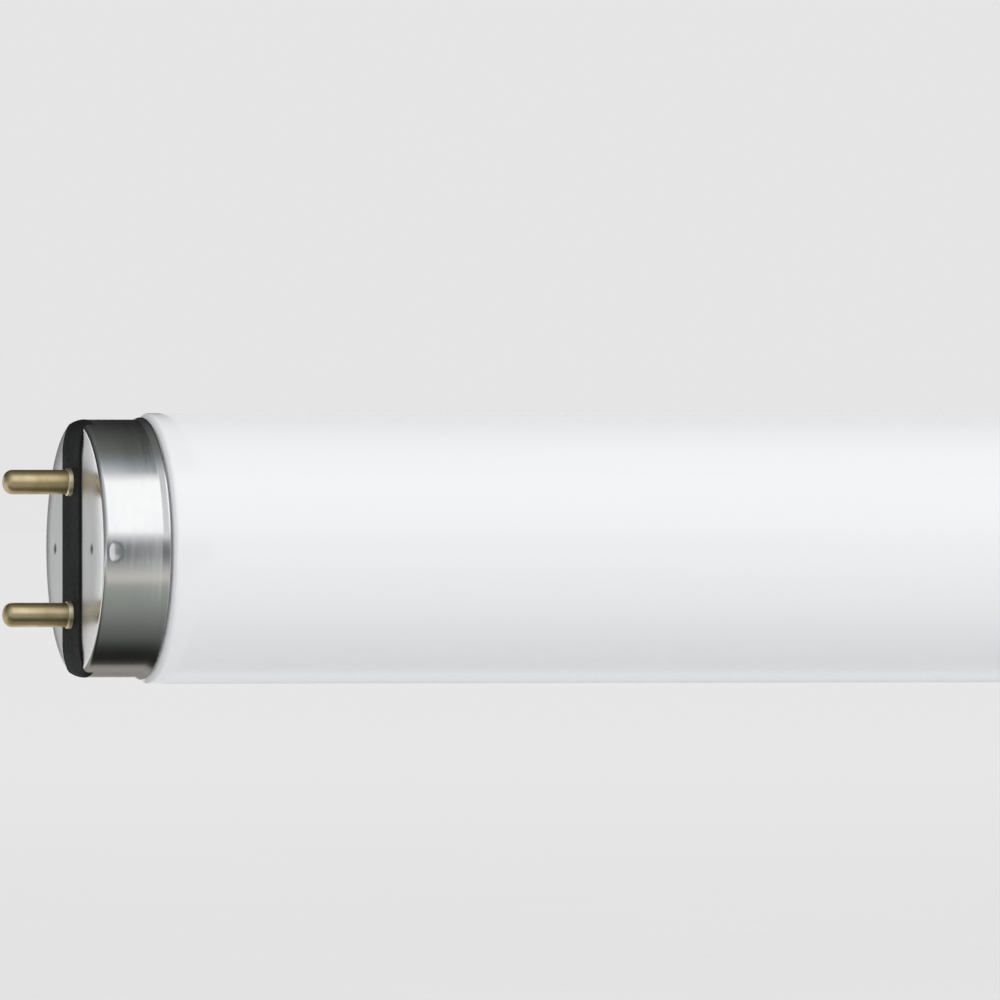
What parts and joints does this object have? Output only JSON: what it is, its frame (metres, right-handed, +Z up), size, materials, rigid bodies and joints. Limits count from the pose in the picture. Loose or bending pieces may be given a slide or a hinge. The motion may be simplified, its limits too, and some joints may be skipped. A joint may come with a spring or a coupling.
{
  "type": "fluorescent tube",
  "caption": "Straight white fluorescent tube with an aluminium two-pin cap on each end, each cap crossed by a black insulating bridge that carries brass pins.",
  "frame": {"origin": "under the middle of the tube, on the surface that it lies on", "axes": "+X along the tube, +Z up along the line of each cap's two pins"},
  "size_m": [0.603, 0.026, 0.026],
  "materials": {
    "coated_glass": "glossy glass, opaque white from the coating inside",
    "cap_aluminium": "bright drawn sheet, soft reflections",
    "bridge_plastic": "black moulded plastic, satin",
    "pin_brass": "dull brass",
    "cap_cement": "matt basing cement",
    "lead_wire": "plain plated wire"
  },
  "bodies": {
    "root": {"glass_tube": "coated_glass", "left_cap_shell": "cap_aluminium", "right_cap_shell": "cap_aluminium", "left_insulating_bridge": "bridge_plastic", "right_insulating_bridge": "bridge_plastic", "left_upper_pin": "pin_brass", "left_lower_pin": "pin_brass", "right_upper_pin": "pin_brass", "right_lower_pin": "pin_brass", "left_cement_ring": "cap_cement", "right_cement_ring": "cap_cement", "left_upper_lead_wire": "lead_wire", "left_lower_lead_wire": "lead_wire", "right_upper_lead_wire": "lead_wire", "right_lower_lead_wire": "lead_wire"}
  },
  "joints": []
}
